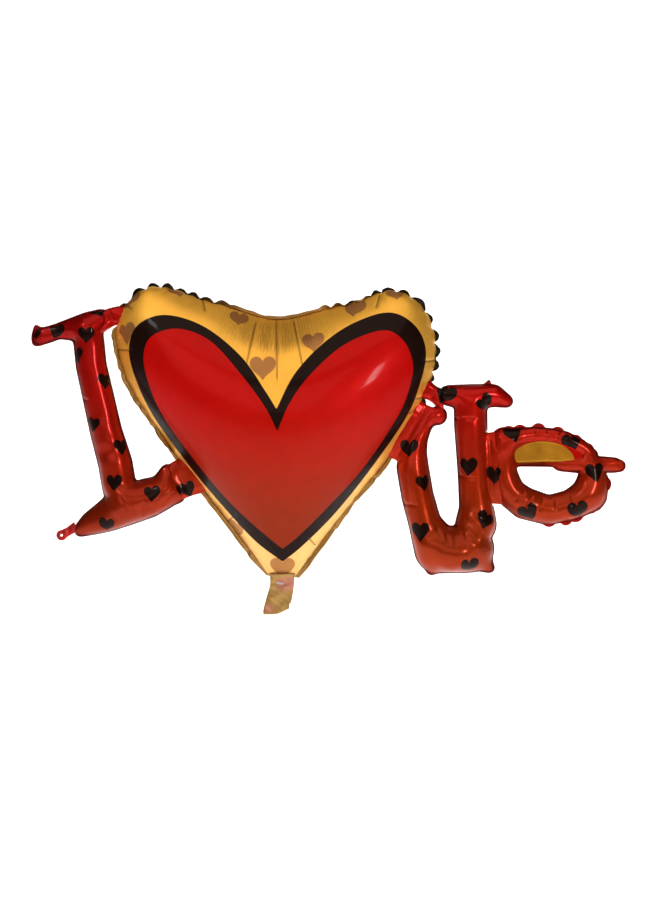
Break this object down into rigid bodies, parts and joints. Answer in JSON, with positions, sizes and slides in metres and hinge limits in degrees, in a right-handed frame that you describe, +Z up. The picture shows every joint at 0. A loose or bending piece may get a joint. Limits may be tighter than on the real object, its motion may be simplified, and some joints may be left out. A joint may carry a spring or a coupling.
{
  "type": "heart-shaped foil balloon",
  "caption": "Gold foil heart balloon with a red printed heart, joined to red inflated letter shapes that hang on film webs at its sides.",
  "frame": {"origin": "middle of the heart's neck, in the plane of the seal band, where the ribbon ties and the tail begins", "axes": "+X to the viewer's right, -Y out of the printed front, +Z up from the tail to the lobes"},
  "size_m": [0.741, 0.18, 0.4169],
  "materials": {
    "gold_foil": "metallised film, printed gold",
    "red_foil": "metallised film, printed red with dark hearts",
    "seal_foil": "metallised film, heat sealed and crimped",
    "valve_film": "clear valve film"
  },
  "bodies": {
    "heart": {"heart_front_panel": "gold_foil", "heart_back_panel": "gold_foil", "heart_seal_band": "seal_foil", "neck_sleeve": "gold_foil", "valve_front_film": "valve_film", "valve_back_film": "valve_film"},
    "tail": {"tail_front_film": "gold_foil", "tail_back_film": "gold_foil", "tail_edge_seals": "gold_foil"},
    "letter_l": {"letter_l_front_panel": "red_foil", "letter_l_back_panel": "red_foil", "letter_l_seal_band": "red_foil", "letter_l_link_webs": "red_foil"},
    "foot_tab": {"foot_hang_tab": "red_foil"},
    "letter_v": {"letter_v_front_panel": "red_foil", "letter_v_back_panel": "red_foil", "letter_v_seal_band": "red_foil", "letter_v_link_webs": "red_foil"},
    "letter_e": {"letter_e_front_panel": "red_foil", "letter_e_back_panel": "red_foil", "letter_e_seal_band": "red_foil", "letter_e_link_web": "red_foil", "letter_e_eye_web": "gold_foil"}
  },
  "joints": [
    {"name": "tail_fold", "type": "hinge", "parent": "heart", "child": "tail", "pos_m": [0, 0, -0.013], "axis": [-1, 0, 0], "range_deg": [-85, 85], "stiffness_Nm_per_rad": 0.0002},
    {"name": "l_swing", "type": "hinge", "parent": "heart", "child": "letter_l", "pos_m": [-0.117, 0, 0.104], "axis": [-0.3934, 0, 0.9194], "range_deg": [-20, 20], "stiffness_Nm_per_rad": 0.003},
    {"name": "l_foot_tab_fold", "type": "hinge", "parent": "letter_l", "child": "foot_tab", "pos_m": [-0.2648, 0, 0.0547], "axis": [-0.5026, 0, 0.8645], "range_deg": [-60, 60], "stiffness_Nm_per_rad": 0.00005},
    {"name": "v_swing", "type": "hinge", "parent": "heart", "child": "letter_v", "pos_m": [0.193, 0, 0.24], "axis": [-0.4994, 0, -0.8664], "range_deg": [-20, 20], "stiffness_Nm_per_rad": 0.004},
    {"name": "e_swing", "type": "hinge", "parent": "letter_v", "child": "letter_e", "pos_m": [0.257, 0, 0.184], "axis": [0.059, 0, -0.9983], "range_deg": [-25, 25], "stiffness_Nm_per_rad": 0.004}
  ]
}
